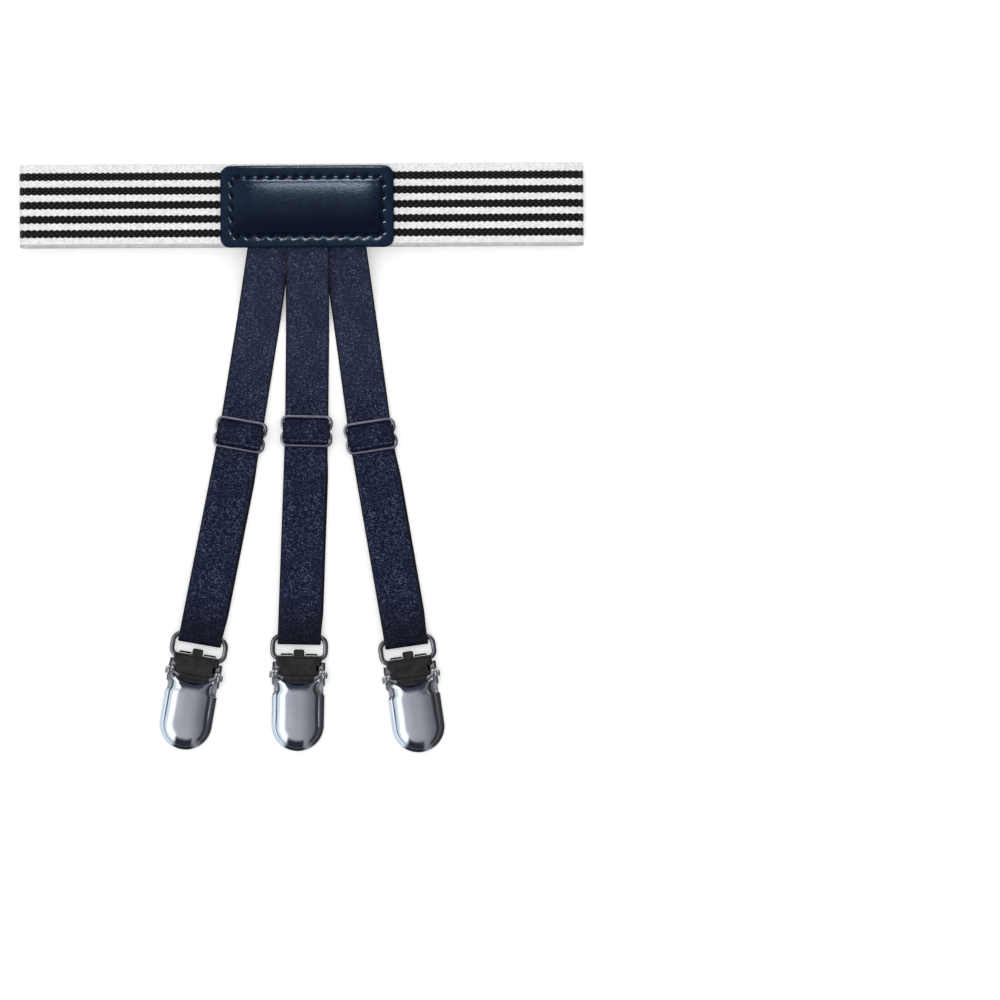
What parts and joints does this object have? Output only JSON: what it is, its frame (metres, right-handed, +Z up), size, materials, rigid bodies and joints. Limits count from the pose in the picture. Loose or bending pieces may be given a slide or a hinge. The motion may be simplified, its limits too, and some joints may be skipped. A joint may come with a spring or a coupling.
{
  "type": "shirt stay",
  "caption": "Shirt stay: striped elastic thigh band with a padded leather patch, straps through wire sliders, and rings that carry mitten clips with hinged levers.",
  "frame": {"origin": "middle of the band's underside, on the surface that the part lies on", "axes": "+X along the band, +Y across it away from the clips, +Z up through the front of the part"},
  "size_m": [0.203, 0.2122, 0.0137],
  "materials": {
    "band_elastic": "white knitted elastic with five black stripes",
    "patch_leather": "smooth padded navy leather, semi-gloss, stitched round its edge",
    "strap_elastic": "navy satin elastic webbing",
    "slider_wire": "nickel-plated wire",
    "ring_wire": "dark nickel-plated wire",
    "plate_steel": "nickel-plated sheet steel",
    "spring_steel": "dark gunmetal sheet steel",
    "lever_polish": "polished nickel"
  },
  "bodies": {
    "harness": {"thigh_band": "band_elastic", "leather_patch": "patch_leather", "strap_left": "strap_elastic", "slider_left": "slider_wire", "ring_left": "ring_wire", "strap_centre": "strap_elastic", "slider_centre": "slider_wire", "ring_centre": "ring_wire", "strap_right": "strap_elastic", "slider_right": "slider_wire", "ring_right": "ring_wire"},
    "clip_left": {"back_plate_left": "plate_steel", "spring_plate_left": "spring_steel", "pivot_pin_left_a": "slider_wire", "pivot_pin_left_b": "slider_wire"},
    "lever_left": {"lever_left": "lever_polish"},
    "clip_centre": {"back_plate_centre": "plate_steel", "spring_plate_centre": "spring_steel", "pivot_pin_centre_a": "slider_wire", "pivot_pin_centre_b": "slider_wire"},
    "lever_centre": {"lever_centre": "lever_polish"},
    "clip_right": {"back_plate_right": "plate_steel", "spring_plate_right": "spring_steel", "pivot_pin_right_a": "slider_wire", "pivot_pin_right_b": "slider_wire"},
    "lever_right": {"lever_right": "lever_polish"}
  },
  "joints": [
    {"name": "clip_swing_left", "type": "hinge", "parent": "harness", "child": "clip_left", "pos_m": [-0.03852, -0.16282, 0.00215], "axis": [-0.9845, 0.1754, 0], "range_deg": [-90, 90]},
    {"name": "lever_open_left", "type": "hinge", "parent": "clip_left", "child": "lever_left", "pos_m": [-0.03954, -0.16853, 0.005], "axis": [-0.9845, 0.1754, 0], "range_deg": [0, 85]},
    {"name": "clip_swing_centre", "type": "hinge", "parent": "harness", "child": "clip_centre", "pos_m": [-0.0018, -0.16319, 0.00215], "axis": [-0.9997, 0.0244, 0], "range_deg": [-90, 90]},
    {"name": "lever_open_centre", "type": "hinge", "parent": "clip_centre", "child": "lever_centre", "pos_m": [-0.00194, -0.16899, 0.005], "axis": [-0.9997, 0.0244, 0], "range_deg": [0, 85]},
    {"name": "clip_swing_right", "type": "hinge", "parent": "harness", "child": "clip_right", "pos_m": [0.03778, -0.1641, 0.00215], "axis": [-0.9903, -0.1392, 0], "range_deg": [-90, 90]},
    {"name": "lever_open_right", "type": "hinge", "parent": "clip_right", "child": "lever_right", "pos_m": [0.03859, -0.16984, 0.005], "axis": [-0.9903, -0.1392, 0], "range_deg": [0, 85]}
  ]
}
